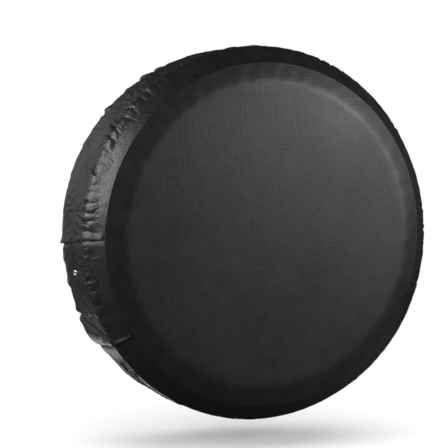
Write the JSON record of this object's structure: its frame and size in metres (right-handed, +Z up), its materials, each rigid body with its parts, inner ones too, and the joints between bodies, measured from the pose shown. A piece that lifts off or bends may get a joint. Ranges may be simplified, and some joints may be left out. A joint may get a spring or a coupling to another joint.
{
  "type": "spare tire cover",
  "caption": "Soft drawn-over cover for a rear-mounted spare wheel: flat face disc, puckered shoulder strip, rear skirt and a corded elastic hem with a sliding cord lock.",
  "frame": {"origin": "centre of the spare wheel that the cover is pulled over", "axes": "+Y along the wheel's axis out of the cover's open back, +Z up, +X to the right when facing the flat face"},
  "size_m": [0.7412, 0.2545, 0.7412],
  "materials": {
    "leatherette": "satin",
    "woven_tape": "matte",
    "thread": "satin",
    "elastic_cord": "matte",
    "nickel": "polished",
    "black_plastic": "satin",
    "steel": "satin"
  },
  "bodies": {
    "cover": {"face_panel": "leatherette", "front_strip": "leatherette", "rear_skirt": "leatherette", "hem_casing": "leatherette", "edge_binding": "woven_tape", "seam_tape": "woven_tape", "closing_tape": "woven_tape", "topstitch_front": "thread", "topstitch_rear": "thread", "closing_stitch": "thread", "hem_stitch": "thread", "hem_elastic": "elastic_cord", "cord_eyelet_left": "nickel", "cord_eyelet_right": "nickel", "drain_eyelet_left": "nickel", "drain_eyelet_right": "nickel", "drain_washer_left": "nickel", "drain_washer_right": "nickel", "elastic_ferrule": "steel"},
    "cord_lock": {"cord_lock_body": "black_plastic", "cord_lock_spring": "steel"},
    "button": {"cord_lock_button": "black_plastic"}
  },
  "joints": [
    {"name": "cord_lock_slide", "type": "slide", "parent": "cover", "child": "cord_lock", "axis": [0, 0, -1], "range_m": [0, 0.02]},
    {"name": "button_press", "type": "slide", "parent": "cord_lock", "child": "button", "axis": [-1, 0, 0], "range_m": [0, 0.003], "stiffness_N_per_m": 600, "springref_m": -0.003, "deforming": ["cord_lock_spring"]}
  ]
}
